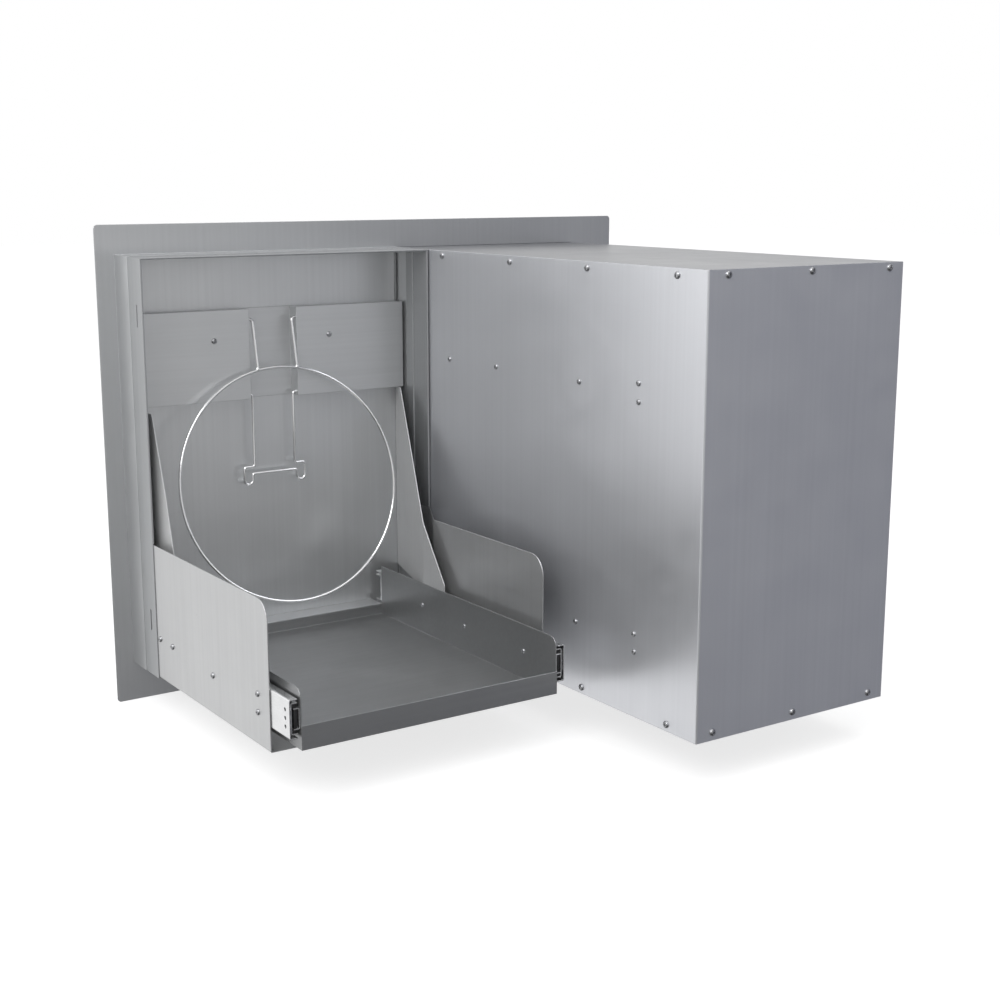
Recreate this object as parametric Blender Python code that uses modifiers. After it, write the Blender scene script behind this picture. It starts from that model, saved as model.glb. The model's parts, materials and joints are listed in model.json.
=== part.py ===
"""Cabinet insert for an outdoor kitchen: a pull-out refuse tray with a bag ring beside two drawers.

Metres, +Z up. X runs across the flange, -Y points out of the front and +Y into the cabinet.
Heights in this file are measured from the underside of the drawer box.
The unit empty lifts everything so that the world origin is the middle of the flange's bottom border.
"""

import math

import bmesh
import bpy
from mathutils import Vector

# Sheet, wire and fits
SHEET = 0.0012
FLANGE_SHEET = 0.0015
BEND = 0.0014
FIT = 0.0003
RUN_GAP = 0.003
HOLE_PLAY = 0.0004
PIVOT_PLAY = 0.0001

# Drawer box
BOX_WIDTH = 0.306
BOX_DEPTH = 0.663
BOX_HEIGHT = 0.539
PANEL_SKIRT = 0.015

# Refuse opening and its sleeve
SLEEVE_WIDTH = 0.4157
SLEEVE_DEPTH = 0.0864
SLEEVE_TO_BOX = 0.001
SLEEVE_OVER_BOX = 0.0005
SLEEVE_UNDER_BOX = SHEET + FIT
LIP_DEPTH = 0.045
JOGGLE_START = 0.030
HEM_LENGTH = 0.0104
HEM_GAP = 0.0003
SLOT_HEIGHT = 0.0275
SLOT_WIDTH = 0.0032
SLOT_BACK = 0.068
UPPER_SLOT_DROP = 0.086
LOWER_SLOT_RISE = 0.060

# Face flange borders
FLANGE_LEFT = 0.0254
FLANGE_RIGHT = 0.0747
FLANGE_TOP = 0.0383
FLANGE_BOTTOM = 0.054
FLANGE_CORNER = 0.005

# Fronts
FRONT_DEPTH = 0.020
FRONT_OFF_FLANGE = 0.0003
FRONT_OVERLAP = 0.009
FRONT_EDGE = 0.0015
SPLIT_SHARE = 0.5603
HANDLE_RADIUS = 0.0065
HANDLE_STANDOFF = 0.035
POST_RADIUS = 0.0045
REFUSE_HANDLE = 0.300
DRAWER_HANDLE = 0.220
HANDLE_DROP = 0.052
POST_INSET = 0.032
POST_FOOT = 0.0065

# Refuse runner plates
PLATE_HEIGHT = 0.1762
PLATE_START = 0.050
LEFT_PLATE_START = 0.0725
PLATE_END = 0.4153
PLATE_CORNER = 0.025
PLATE_FOOT = 0.0359
RIGHT_PLATE_X = 0.0087
JOG_START = 0.088
JOG_END = 0.156
RIGHT_FOOT_START = 0.162
SCREW_RADIUS = 0.0018
SCREW_HEAD = 0.0037

# Telescopic slides
SLIDE_SPACE = 0.0133
SLIDE_OUTER = 0.0462
SLIDE_MIDDLE = 0.0370
SLIDE_INNER = 0.0250
OUTER_REACH = 0.0103
MIDDLE_NEAR = 0.0030
MIDDLE_REACH = 0.0113
INNER_NEAR = 0.0056
MIDDLE_SET_BACK = 0.002
INNER_SET_BACK = 0.024
SLIDE_HOLE = 0.0023
SLIDE_HOLE_BACK = 0.0105
SLIDE_HOLE_PITCH = 0.010
REFUSE_SLIDE_START = 0.012
REFUSE_SLIDE_LENGTH = 0.450
REFUSE_SLIDE_HEIGHT = 0.0524
DRAWER_SLIDE_START = 0.030
DRAWER_SLIDE_SHORT = 0.113
UPPER_SLIDE_DROP = 0.146
LOWER_SLIDE_HEIGHT = 0.091

# Refuse tray and what stands on it
TRAY_START = 0.0341
TRAY_LENGTH = 0.4308
TRAY_FLOOR = 0.0154
TRAY_WALL = 0.0714
TRAY_LIP = 0.0286
TRAY_UPSTAND = 0.0156
TRAY_CORNER = 0.012
RAIL_DROP = 0.0747
RAIL_HEIGHT = 0.1211
RAIL_DEPTH = 0.0213
RECESS_WIDTH = 0.070
HANGER_SCREW_DROP = 0.040
HANGER_SCREW_LEFT = 0.086
HANGER_SCREW_RIGHT = 0.0847
RIGHT_GUSSET_REACH = 0.2044
RIGHT_GUSSET_BEND = 0.150
LEFT_GUSSET_REACH = 0.140
LEFT_GUSSET_BEND = 0.100
GUSSET_BOTTOM = 0.078
GUSSET_UNDER_RAIL = 0.0007
GUSSET_OVER_TRAY = 0.0085
RIGHT_GUSSET_TOP = 0.030
LEFT_GUSSET_TOP = 0.073

# Bag ring and its prop
RING_WIRE = 0.002
RING_SIDE_GAP = 0.0149
RING_FLOOR_GAP = 0.0740
RING_PRONG_DROP = 0.0663
RING_PRONG_GAP = 0.006
RING_PIVOT_Y = 0.0181
RING_PIVOT_DROP = 0.0138
RING_TILT = math.radians(11.68)
PROP_WIRE = 0.00175
PROP_PIVOT_Y = 0.0145
PROP_PIVOT_RISE = 0.0048
PROP_ARM_GAP = 0.0046
PROP_STEP = 0.0990
PROP_HOOK_REACH = 0.0152
PROP_HOOK_INSET = 0.0030
PROP_CROSS = 0.1085
PROP_BOTTOM = 0.1232
WIRE_PAST_WALL = 0.0035

# Drawer boxes
DRAWER_SHORT = 0.103
DRAWER_LIP = 0.008
UPPER_BOX_DROP = 0.199
UPPER_BOX_HEIGHT = 0.150
LOWER_BOX_BOTTOM = 0.038
LOWER_BOX_UNDER_SPLIT = 0.082

# Derived positions
FLANGE_WIDTH = FLANGE_LEFT + SLEEVE_WIDTH + SLEEVE_TO_BOX + BOX_WIDTH + FLANGE_RIGHT
SLEEVE_HIGH = FLANGE_WIDTH / 2 - FLANGE_LEFT
SLEEVE_LOW = SLEEVE_HIGH - SLEEVE_WIDTH
BOX_HIGH = SLEEVE_LOW - SLEEVE_TO_BOX
BOX_LOW = BOX_HIGH - BOX_WIDTH
SLEEVE_TOP = BOX_HEIGHT + SLEEVE_OVER_BOX
SLEEVE_BOTTOM = -SLEEVE_UNDER_BOX
FLANGE_CREST = SLEEVE_TOP + FLANGE_TOP
OPENING_LOW = SLEEVE_LOW - FIT + SHEET
OPENING_HIGH = SLEEVE_HIGH + FIT - SHEET
OPENING_BOTTOM = SLEEVE_BOTTOM - FIT + SHEET
OPENING_TOP = SLEEVE_TOP + FIT - SHEET
LINER_LOW = OPENING_LOW + RUN_GAP + FIT
LINER_HIGH = OPENING_HIGH - RUN_GAP - FIT
LINER_BOTTOM = OPENING_BOTTOM + RUN_GAP + FIT
LINER_TOP = OPENING_TOP - RUN_GAP + FIT
FRONT_BACK = -FLANGE_SHEET - FRONT_OFF_FLANGE
FRONT_FACE = FRONT_BACK - FRONT_DEPTH
LEFT_PLATE_X = SLEEVE_HIGH - SHEET - 0.0002
TRAY_LOW = RIGHT_PLATE_X + SLIDE_SPACE
TRAY_HIGH = LEFT_PLATE_X - SHEET - SLIDE_SPACE
TRAY_END = TRAY_START + TRAY_LENGTH
TRAY_TOP = TRAY_FLOOR + TRAY_WALL
RAIL_LOW = LINER_LOW
RAIL_HIGH = LINER_HIGH
RECESS_X = (SLEEVE_LOW + SLEEVE_HIGH) / 2 - 0.0014
BOX_INNER_LOW = BOX_LOW + SHEET
BOX_INNER_HIGH = BOX_HIGH - SHEET
BOX_START = FIT - FLANGE_SHEET
SPLIT_HEIGHT = BOX_HEIGHT * SPLIT_SHARE
UPPER_SLIDE_HEIGHT = BOX_HEIGHT - UPPER_SLIDE_DROP
DRAWER_SLIDE_LENGTH = BOX_DEPTH - DRAWER_SLIDE_SHORT
DRAWER_LENGTH = BOX_DEPTH - DRAWER_SHORT
UPPER_BOX_BOTTOM = BOX_HEIGHT - UPPER_BOX_DROP
LOWER_BOX_HEIGHT = SPLIT_HEIGHT - LOWER_BOX_UNDER_SPLIT
RAIL_TOP = BOX_HEIGHT - RAIL_DROP
RAIL_BOTTOM = RAIL_TOP - RAIL_HEIGHT
RING_PIVOT_Z = RAIL_TOP - RING_PIVOT_DROP
RING_SPAN = (RING_PIVOT_Z - RING_FLOOR_GAP) / math.cos(RING_TILT)
RING_RADIUS = min((TRAY_HIGH - TRAY_LOW) / 2 - RING_SIDE_GAP, (RING_SPAN - RING_PRONG_DROP) / 2)
RING_DROP = RING_PRONG_DROP + RING_RADIUS
RING_PRONG = RECESS_WIDTH / 2 - RING_PRONG_GAP
PROP_PIVOT_Z = RAIL_BOTTOM + PROP_PIVOT_RISE
PROP_ARM = RECESS_WIDTH / 2 - PROP_ARM_GAP
PROP_HOOK_OUT = PROP_ARM + PROP_HOOK_REACH
PROP_HOOK_IN = PROP_ARM + PROP_HOOK_INSET
WIRE_END = RECESS_WIDTH / 2 + WIRE_PAST_WALL
UNIT_LIFT = FLANGE_BOTTOM / 2

AXES = {"X": (1, 2, 0), "Y": (0, 2, 1), "Z": (0, 1, 2)}


def remove_everything():
    """Empty the starting scene."""
    for thing in list(bpy.data.objects):
        bpy.data.objects.remove(thing, do_unlink=True)


def new_collection(name, hidden):
    """Add a collection; a hidden one holds the cutters."""
    collection = bpy.data.collections.new(name)
    bpy.context.scene.collection.children.link(collection)
    collection.hide_render = hidden
    return collection


def new_material(name, colour, roughness, metallic):
    """Add a Principled material."""
    made = bpy.data.materials.new(name)
    made.use_nodes = True
    shader = made.node_tree.nodes["Principled BSDF"]
    shader.inputs["Base Color"].default_value = (*colour, 1.0)
    shader.inputs["Roughness"].default_value = roughness
    shader.inputs["Metallic"].default_value = metallic
    return made


remove_everything()
PARTS = new_collection("waste_drawer_combo", False)
CUTTERS = new_collection("cutters", True)
BRUSHED = new_material("brushed_steel", (0.60, 0.61, 0.62), 0.32, 1.0)
LINER_STEEL = new_material("liner_steel", (0.52, 0.53, 0.54), 0.38, 1.0)
ZINC = new_material("zinc_steel", (0.78, 0.79, 0.80), 0.30, 1.0)
CHROME = new_material("chrome_wire", (0.85, 0.86, 0.87), 0.12, 1.0)
POLISHED = new_material("polished_steel", (0.72, 0.73, 0.74), 0.16, 1.0)


def finish_mesh(name, maker, material, collection=None):
    """Turn a bmesh into an object with outward normals."""
    bmesh.ops.recalc_face_normals(maker, faces=maker.faces[:])
    mesh = bpy.data.meshes.new(name)
    maker.to_mesh(mesh)
    maker.free()
    made = bpy.data.objects.new(name, mesh)
    (collection or PARTS).objects.link(made)
    if material is not None:
        mesh.materials.append(material)
    return made


def add_block(maker, low, high):
    """Add a closed box between two corners to a bmesh."""
    size = [b - a for a, b in zip(low, high)]
    middle = [(a + b) / 2 for a, b in zip(low, high)]
    added = bmesh.ops.create_cube(maker, size=1.0)
    for vertex in added["verts"]:
        vertex.co = Vector([m + c * s for m, c, s in zip(middle, vertex.co, size)])
    return added["verts"]


def block(name, low, high, material=None, collection=None):
    """A box between two corners."""
    maker = bmesh.new()
    add_block(maker, low, high)
    return finish_mesh(name, maker, material, collection)


def prism(name, outline, axis, start, end, material=None, collection=None):
    """A flat outline pulled along an axis from start to end."""
    first, second, along = AXES[axis]
    maker = bmesh.new()
    ends = []
    for level in (start, end):
        ring = []
        for point in outline:
            place = [0.0, 0.0, 0.0]
            place[first] = point[0]
            place[second] = point[1]
            place[along] = level
            ring.append(maker.verts.new(place))
        ends.append(ring)
    count = len(outline)
    for index in range(count):
        after = (index + 1) % count
        maker.faces.new((ends[0][index], ends[0][after], ends[1][after], ends[1][index]))
    maker.faces.new(ends[0])
    maker.faces.new(list(reversed(ends[1])))
    return finish_mesh(name, maker, material, collection)


def turned(name, profile, axis, centre, material=None, collection=None, sides=24):
    """A profile of (radius, distance along the axis) points, turned about the axis through centre."""
    first, second, along = AXES[axis]
    maker = bmesh.new()
    rings = []
    for radius, level in profile:
        ring = []
        for step in range(1 if radius == 0 else sides):
            angle = 2 * math.pi * step / sides
            place = list(centre)
            place[first] += radius * math.cos(angle)
            place[second] += radius * math.sin(angle)
            place[along] += level
            ring.append(maker.verts.new(place))
        rings.append(ring)
    for before, after in zip(rings, rings[1:]):
        skin_rings(maker, before, after)
    for ring in (rings[0], rings[-1]):
        if len(ring) > 1:
            maker.faces.new(ring)
    return finish_mesh(name, maker, material, collection)


def skin_rings(maker, before, after):
    """Join two rings of vertices; either may be a single point."""
    count = max(len(before), len(after))
    for step in range(count):
        step_on = (step + 1) % count
        corners = [before[step % len(before)], before[step_on % len(before)]]
        corners += [after[step_on % len(after)], after[step % len(after)]]
        kept = []
        for corner in corners:
            if corner not in kept:
                kept.append(corner)
        if len(kept) > 2:
            maker.faces.new(kept)


def rounded(path, radius, steps=4, closed=False):
    """The path with each inner corner replaced by an arc."""
    result = []
    count = len(path)
    for index, corner in enumerate(path):
        here = Vector(corner)
        if not closed and index in (0, count - 1):
            result.append(here)
            continue
        to_before = (Vector(path[index - 1]) - here)
        to_after = (Vector(path[(index + 1) % count]) - here)
        before = to_before.normalized()
        after = to_after.normalized()
        turn = before.angle(after)
        if turn > math.pi - 0.01:
            result.append(here)
            continue
        back = min(radius / math.tan(turn / 2), to_before.length * 0.49, to_after.length * 0.49)
        reach = back * math.tan(turn / 2)
        middle = here + (before + after).normalized() * (reach / math.sin(turn / 2))
        start = here + before * back - middle
        sweep = math.pi - turn
        side = 1.0 if before.x * after.y - before.y * after.x < 0 else -1.0
        for step in range(steps + 1):
            angle = side * sweep * step / steps
            spin_x = start.x * math.cos(angle) - start.y * math.sin(angle)
            spin_y = start.x * math.sin(angle) + start.y * math.cos(angle)
            result.append(middle + Vector((spin_x, spin_y)))
    return result


def side_steps(path, closed=False):
    """The sideways unit step at each point of a flat path, lengthened at corners."""
    result = []
    count = len(path)
    for index, here in enumerate(path):
        runs = []
        if closed or index > 0:
            runs.append((here - path[index - 1]).normalized())
        if closed or index < count - 1:
            runs.append((path[(index + 1) % count] - here).normalized())
        sides = [Vector((-run.y, run.x)) for run in runs]
        total = sum(sides, Vector((0.0, 0.0))).normalized()
        result.append(total / total.dot(sides[0]))
    return result


def folded(path, thickness=SHEET, bend=BEND):
    """The closed outline of a sheet folded along a centreline path."""
    line = rounded([Vector(point) for point in path], bend)
    steps = side_steps(line)
    left = [point + step * thickness / 2 for point, step in zip(line, steps)]
    right = [point - step * thickness / 2 for point, step in zip(line, steps)]
    return [tuple(point) for point in left + right[::-1]]


def add_tube(maker, path, radius, sides=12, closed=False):
    """Add a round wire along a path that lies in the XZ plane."""
    line = [Vector(point) for point in path]
    steps = side_steps(line, closed)
    rings = []
    for here, step in zip(line, steps):
        ring = []
        for side in range(sides):
            angle = 2 * math.pi * side / sides
            spread = step * radius * math.cos(angle)
            place = (here.x + spread.x, radius * math.sin(angle), here.y + spread.y)
            ring.append(maker.verts.new(place))
        rings.append(ring)
    for before, after in zip(rings, rings[1:]):
        skin_rings(maker, before, after)
    if closed:
        skin_rings(maker, rings[-1], rings[0])
        return
    maker.faces.new(rings[0])
    maker.faces.new(rings[-1])


def boolean(target, other, operation):
    """Add an exact boolean and put the other object away as a helper."""
    modifier = target.modifiers.new(other.name, "BOOLEAN")
    modifier.operation = operation
    modifier.solver = "EXACT"
    modifier.object = other
    for collection in list(other.users_collection):
        collection.objects.unlink(other)
    CUTTERS.objects.link(other)
    other.hide_render = True
    other.display_type = "WIRE"


def cut_block(target, label, low, high):
    """Remove a box from a part."""
    boolean(target, block(target.name + "_" + label, low, high), "DIFFERENCE")


def cut_prism(target, label, outline, axis, start, end):
    """Remove a prism from a part."""
    boolean(target, prism(target.name + "_" + label, outline, axis, start, end), "DIFFERENCE")


def cut_hole(target, label, axis, centre, radius, reach):
    """Remove a round hole that runs reach either way from centre."""
    profile = [(radius, -reach), (radius, reach)]
    boolean(target, turned(target.name + "_" + label, profile, axis, centre, sides=20), "DIFFERENCE")


def round_edges(target, width, segments=2):
    """Round a part's sharp edges."""
    modifier = target.modifiers.new("edges", "BEVEL")
    modifier.width = width
    modifier.segments = segments
    modifier.limit_method = "ANGLE"


def body(name, parent, place):
    """An empty that carries one moving body."""
    made = bpy.data.objects.new(name, None)
    made.empty_display_size = 0.05
    PARTS.objects.link(made)
    made.parent = parent
    made.location = Vector(place) - (world_place(parent) if parent else Vector((0, 0, 0)))
    return made


def world_place(thing):
    """Where an unturned chain of parents puts an object, in box heights."""
    total = Vector(thing.location)
    while thing.parent is not None:
        thing = thing.parent
        total += Vector(thing.location)
    return total


def seat(thing, parent, origin):
    """Give a part its origin and parent, leaving its shape where it was built."""
    origin = Vector(origin)
    for vertex in thing.data.vertices:
        vertex.co -= origin
    for modifier in thing.modifiers:
        if modifier.type == "BOOLEAN":
            helper = modifier.object
            for vertex in helper.data.vertices:
                vertex.co -= origin
            helper.parent = thing
    thing.parent = parent
    thing.location = origin - world_place(parent)
    return thing


def make_bodies():
    """The unit and its moving bodies."""
    unit = body("unit", None, (0, 0, 0))
    bodies = {"cabinet": unit}
    middle_z = BOX_HEIGHT / 2
    box_x = (BOX_LOW + BOX_HIGH) / 2
    for label, middle_x in (("trash", (TRAY_LOW + TRAY_HIGH) / 2), ("upper", box_x), ("lower", box_x)):
        for part in ("slides_middle", "drawer"):
            name = f"{label}_{part}"
            bodies[name] = body(name, unit, (middle_x, 0.0, middle_z))
    drawer = bodies["trash_drawer"]
    bodies["bag_ring"] = body("bag_ring_pivot", drawer, (RECESS_X, RING_PIVOT_Y, RING_PIVOT_Z))
    bodies["ring_prop"] = body("ring_prop_pivot", drawer, (RECESS_X, PROP_PIVOT_Y, PROP_PIVOT_Z))
    return bodies


def corner_rounding(outer_a, outer_b, radius, sign_a, sign_b):
    """The outline that squares a corner off to a radius; signs point out of the part."""
    reach = 0.003
    centre_a = outer_a - sign_a * radius
    centre_b = outer_b - sign_b * radius
    points = [(outer_a + sign_a * reach, centre_b), (outer_a + sign_a * reach, outer_b + sign_b * reach)]
    points.append((centre_a, outer_b + sign_b * reach))
    for step in range(9):
        angle = math.pi / 2 * (1 - step / 8)
        point_a = centre_a + sign_a * radius * math.cos(angle)
        point_b = centre_b + sign_b * radius * math.sin(angle)
        points.append((point_a, point_b))
    return points


def make_flange(bodies):
    """The face flange with the lip that turns back round the refuse opening."""
    half = FLANGE_WIDTH / 2
    corners = [(-half, -FLANGE_BOTTOM), (half, -FLANGE_BOTTOM), (half, FLANGE_CREST), (-half, FLANGE_CREST)]
    outline = [tuple(p) for p in rounded(corners, FLANGE_CORNER, 6, closed=True)]
    flange = prism("face_flange", outline, "Y", -FLANGE_SHEET, 0.0, BRUSHED)
    low = (SLEEVE_LOW - FIT, -FLANGE_SHEET / 2, SLEEVE_BOTTOM - FIT)
    high = (SLEEVE_HIGH + FIT, LIP_DEPTH, SLEEVE_TOP + FIT)
    boolean(flange, block("face_flange_lip", low, high), "UNION")
    low = (OPENING_LOW, -0.02, OPENING_BOTTOM)
    cut_block(flange, "opening", low, (OPENING_HIGH, LIP_DEPTH + 0.02, OPENING_TOP))
    low = (BOX_LOW - FIT, -0.02, -FIT)
    cut_block(flange, "drawer_opening", low, (BOX_HIGH + FIT, 0.02, BOX_HEIGHT + FIT))
    seat(flange, bodies["cabinet"], (0, 0, 0))


def make_sleeve(bodies):
    """The sleeve inside the lip, with a joggle at its front and a hem at its back."""
    end = SLEEVE_DEPTH
    start = LIP_DEPTH + FIT
    leaf = SHEET + HEM_GAP
    deep = leaf + SHEET
    inner = 2 * SHEET
    profile = [(SHEET, JOGGLE_START), (SHEET, start), (0, start), (0, end - SHEET)]
    profile += [(0.3 * SHEET, end - 0.3 * SHEET), (deep / 2, end), (deep - 0.3 * SHEET, end - 0.3 * SHEET)]
    profile += [(deep, end - SHEET), (deep, end - HEM_LENGTH), (leaf, end - HEM_LENGTH), (leaf, end - leaf)]
    profile += [(SHEET, end - leaf), (SHEET, start + SHEET), (inner, start + SHEET), (inner, JOGGLE_START)]
    maker = bmesh.new()
    rings = []
    for inset, y in profile:
        low_x = SLEEVE_LOW + inset
        high_x = SLEEVE_HIGH - inset
        low_z = SLEEVE_BOTTOM + inset
        high_z = SLEEVE_TOP - inset
        corners = ((low_x, low_z), (high_x, low_z), (high_x, high_z), (low_x, high_z))
        rings.append([maker.verts.new((x, y, z)) for x, z in corners])
    for before, after in zip(rings, rings[1:] + rings[:1]):
        skin_rings(maker, before, after)
    sleeve = finish_mesh("trash_sleeve", maker, BRUSHED)
    hem_start = SLEEVE_DEPTH - HEM_LENGTH - 0.004
    floor = SLEEVE_BOTTOM + SHEET + HEM_GAP / 2
    side = SLEEVE_HIGH - SHEET - HEM_GAP / 2
    low = (LEFT_PLATE_X - PLATE_FOOT - 0.004, hem_start, floor)
    cut_block(sleeve, "left_relief", low, (side, SLEEVE_DEPTH + 0.01, PLATE_HEIGHT + 0.002))
    side = SLEEVE_LOW + SHEET + HEM_GAP / 2
    low = (side, hem_start, floor)
    cut_block(sleeve, "right_relief", low, (side + 0.005, SLEEVE_DEPTH + 0.01, PLATE_HEIGHT + 0.002))
    for label, bottom in (("upper_slot", BOX_HEIGHT - UPPER_SLOT_DROP), ("lower_slot", LOWER_SLOT_RISE)):
        low = (SLEEVE_HIGH - 0.01, SLOT_BACK, bottom)
        cut_block(sleeve, label, low, (SLEEVE_HIGH + 0.01, SLOT_BACK + SLOT_WIDTH, bottom + SLOT_HEIGHT))
    seat(sleeve, bodies["cabinet"], (SLEEVE_LOW, 0, 0))


def make_box(bodies):
    """The drawer box: one wrapped sheet and two flanged panels set flush into it."""
    half = SHEET / 2
    path = [(BOX_HIGH - half, BOX_START), (BOX_HIGH - half, BOX_DEPTH - half)]
    path += [(BOX_LOW + half, BOX_DEPTH - half), (BOX_LOW + half, BOX_START)]
    wrap = prism("box_wrap", folded(path, SHEET, 0.0016), "Z", 0.0, BOX_HEIGHT, BRUSHED)
    seat(wrap, bodies["cabinet"], (BOX_LOW, 0, 0))
    gap = SHEET + FIT
    for name, bottom, top, sign in (("box_top_panel", BOX_HEIGHT - PANEL_SKIRT, BOX_HEIGHT, -1),
                                    ("box_bottom_panel", 0.0, PANEL_SKIRT, 1)):
        low = (BOX_LOW + gap, BOX_START, bottom)
        high = (BOX_HIGH - gap, BOX_DEPTH - gap, top)
        panel = block(name, low, high, BRUSHED)
        cut_low = [low[0] + SHEET, -0.05, bottom + SHEET if sign > 0 else bottom - 0.05]
        cut_high = [high[0] - SHEET, high[1] - SHEET, top + 0.05 if sign > 0 else top - SHEET]
        cut_block(panel, "hollow", cut_low, cut_high)
        seat(panel, bodies["cabinet"], (BOX_LOW, 0, top if sign < 0 else 0))


def left_screw_places():
    """Heights and depths of the five screws through the left plate."""
    return [(0.0957, 0.0538), (0.1359, 0.0537), (0.2600, 0.0495), (0.3850, 0.0619), (0.3847, 0.0399)]


def make_plates(bodies):
    """The two plates that carry the refuse slides."""
    half = SHEET / 2
    web = LEFT_PLATE_X - half
    path = [(web, PLATE_HEIGHT), (web, half), (LEFT_PLATE_X - PLATE_FOOT, half)]
    left = prism("left_side_plate", folded(path), "Y", LEFT_PLATE_START, PLATE_END, BRUSHED)
    outline = corner_rounding(PLATE_END, PLATE_HEIGHT, PLATE_CORNER, 1, 1)
    cut_prism(left, "corner", outline, "X", LEFT_PLATE_X - 0.01, LEFT_PLATE_X + 0.01)
    for number, (y, z) in enumerate(left_screw_places(), 1):
        cut_hole(left, f"hole_{number}", "X", (LEFT_PLATE_X, y, z), SCREW_RADIUS + HOLE_PLAY, 0.005)
    seat(left, bodies["cabinet"], (LEFT_PLATE_X, 0, 0))
    for number, (y, z) in enumerate(left_screw_places(), 1):
        make_screw(f"left_plate_screw_{number}", "X", (LEFT_PLATE_X + FIT / 3, y, z), bodies["cabinet"])
    web = RIGHT_PLATE_X - half
    tab = SLEEVE_LOW + SHEET + FIT / 2 + half
    path = [(tab, PLATE_START), (tab, JOG_START), (web, JOG_END), (web, PLATE_END)]
    right = prism("right_side_plate", folded(path), "Z", 0.0, PLATE_HEIGHT, BRUSHED)
    low = (web, RIGHT_FOOT_START, 0.0)
    boolean(right, block("right_side_plate_foot", low, (web + PLATE_FOOT, PLATE_END, SHEET)), "UNION")
    cut_prism(right, "corner", outline, "X", RIGHT_PLATE_X - 0.01, RIGHT_PLATE_X + 0.01)
    seat(right, bodies["cabinet"], (RIGHT_PLATE_X, 0, 0))


def make_screw(name, axis, place, parent):
    """A pan head screw whose head faces along +axis and whose shank reaches one sheet in."""
    profile = [(0, -SHEET - FIT), (SCREW_RADIUS, -SHEET - FIT), (SCREW_RADIUS, 0.0), (SCREW_HEAD, 0.0)]
    profile += [(SCREW_HEAD, 0.0006), (SCREW_HEAD * 0.8, 0.0016), (SCREW_HEAD * 0.45, 0.0021), (0, 0.0023)]
    screw = turned(name, profile, axis, place, POLISHED, sides=20)
    seat(screw, parent, place)


def channel(name, wall, spread, height, run, opens_away):
    """A C channel of a slide: wall is its place and direction, spread its nearest and farthest reach."""
    wall_x, toward, middle_z = wall
    near, far = spread
    half = SHEET / 2
    top = height / 2 - half
    web = wall_x + toward * (near + half if opens_away else far - half)
    tip = wall_x + toward * (far if opens_away else near)
    path = [(tip, middle_z + top), (web, middle_z + top), (web, middle_z - top), (tip, middle_z - top)]
    return prism(name, folded(path), "Y", run[0], run[1], ZINC)


def make_slide(label, wall_x, toward, middle_z, start, length, fixed, middle, moving):
    """One three-member slide between a wall and a drawer."""
    end = start + length
    wall = (wall_x, toward, middle_z)
    outer = channel(label + "_outer", wall, (FIT, OUTER_REACH), SLIDE_OUTER, (start, end), True)
    if label.startswith("trash"):
        for number, step in enumerate((-1, 0, 1), 1):
            place = (wall_x, end - SLIDE_HOLE_BACK, middle_z + step * SLIDE_HOLE_PITCH)
            cut_hole(outer, f"hole_{number}", "X", place, SLIDE_HOLE, 0.004)
    seat(outer, fixed, (wall_x, start, middle_z))
    run = (start + MIDDLE_SET_BACK, end - MIDDLE_SET_BACK)
    core = channel(label + "_middle", wall, (MIDDLE_NEAR, MIDDLE_REACH), SLIDE_MIDDLE, run, True)
    seat(core, middle, (wall_x, start, middle_z))
    run = (start + INNER_SET_BACK, end)
    inner = channel(label + "_inner", wall, (INNER_NEAR, SLIDE_SPACE - FIT), SLIDE_INNER, run, False)
    seat(inner, moving, (wall_x, start, middle_z))


def make_slides(bodies):
    """Six slides, two to each drawer."""
    fixed = bodies["cabinet"]
    middle = bodies["trash_slides_middle"]
    run = (REFUSE_SLIDE_HEIGHT, REFUSE_SLIDE_START, REFUSE_SLIDE_LENGTH)
    spec = (*run, fixed, middle, bodies["trash_drawer"])
    make_slide("trash_slide_left", LEFT_PLATE_X - SHEET, -1, *spec)
    make_slide("trash_slide_right", RIGHT_PLATE_X, 1, *spec)
    for label, height in (("upper", UPPER_SLIDE_HEIGHT), ("lower", LOWER_SLIDE_HEIGHT)):
        middle = bodies[label + "_slides_middle"]
        run = (height, DRAWER_SLIDE_START, DRAWER_SLIDE_LENGTH)
        spec = (*run, fixed, middle, bodies[label + "_drawer"])
        make_slide(label + "_slide_left", BOX_INNER_HIGH, -1, *spec)
        make_slide(label + "_slide_right", BOX_INNER_LOW, 1, *spec)


def make_front(label, low_x, high_x, low_z, high_z, liner, moving):
    """A double front: an outer skin pan and a liner pan set into it."""
    skin = block(label + "_front_skin", (low_x, FRONT_FACE, low_z), (high_x, FRONT_BACK, high_z), BRUSHED)
    round_edges(skin, FRONT_EDGE)
    low = (low_x + SHEET, FRONT_FACE + SHEET, low_z + SHEET)
    cut_block(skin, "hollow", low, (high_x - SHEET, FRONT_BACK + 0.02, high_z - SHEET))
    seat(skin, moving, (low_x, FRONT_FACE, low_z))
    front = FRONT_FACE + SHEET + FIT
    inner = block(label + "_front_liner", (liner[0], front, liner[2]), (liner[1], 0.0, liner[3]), LINER_STEEL)
    low = (liner[0] + SHEET, front - 0.02, liner[2] + SHEET)
    cut_block(inner, "hollow", low, (liner[1] - SHEET, -SHEET, liner[3] - SHEET))
    seat(inner, moving, (liner[0], 0, liner[2]))


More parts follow.
